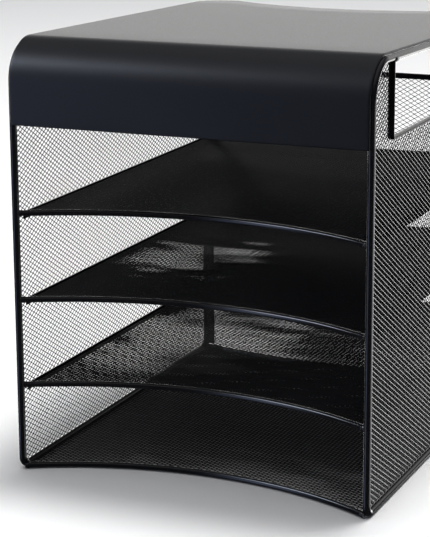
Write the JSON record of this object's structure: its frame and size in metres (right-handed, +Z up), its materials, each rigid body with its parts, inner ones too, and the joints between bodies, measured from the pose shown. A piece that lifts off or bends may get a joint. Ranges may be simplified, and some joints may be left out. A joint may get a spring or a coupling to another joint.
{
  "type": "desk organizer",
  "caption": "Mesh desk organizer with stacked letter trays in a bent-wire frame, a curved hood and a flat sheet top with a hollowed rear edge.",
  "frame": {"origin": "on the desk, under the middle of the organizer's bounding box", "axes": "+Z up, trays open towards -Y, +X to the right seen from the front"},
  "size_m": [0.2536, 0.322, 0.294],
  "materials": {
    "cover_sheet": "satin black powder coat on sheet steel",
    "frame_wire": "semi-gloss black powder coat on round steel wire",
    "steel_mesh": "black powder coat on expanded steel mesh",
    "edge_strip": "satin black powder coat on folded steel strip"
  },
  "bodies": {
    "root": {"top_cover": "cover_sheet", "side_frame_left": "frame_wire", "side_mesh_left": "steel_mesh", "opening_strip_left": "edge_strip", "side_frame_right": "frame_wire", "side_mesh_right": "steel_mesh", "opening_strip_right": "edge_strip", "strip_clips": "edge_strip", "floor_front_wire": "frame_wire", "floor_rear_wire": "frame_wire", "floor_mesh": "steel_mesh", "lower_front_wire": "frame_wire", "lower_rear_wire": "frame_wire", "lower_mesh": "steel_mesh", "middle_front_wire": "frame_wire", "middle_rear_wire": "frame_wire", "middle_mesh": "steel_mesh", "upper_front_wire": "frame_wire", "upper_rear_wire": "frame_wire", "upper_mesh": "steel_mesh", "rear_mesh": "steel_mesh", "rear_rim": "edge_strip"}
  },
  "joints": []
}
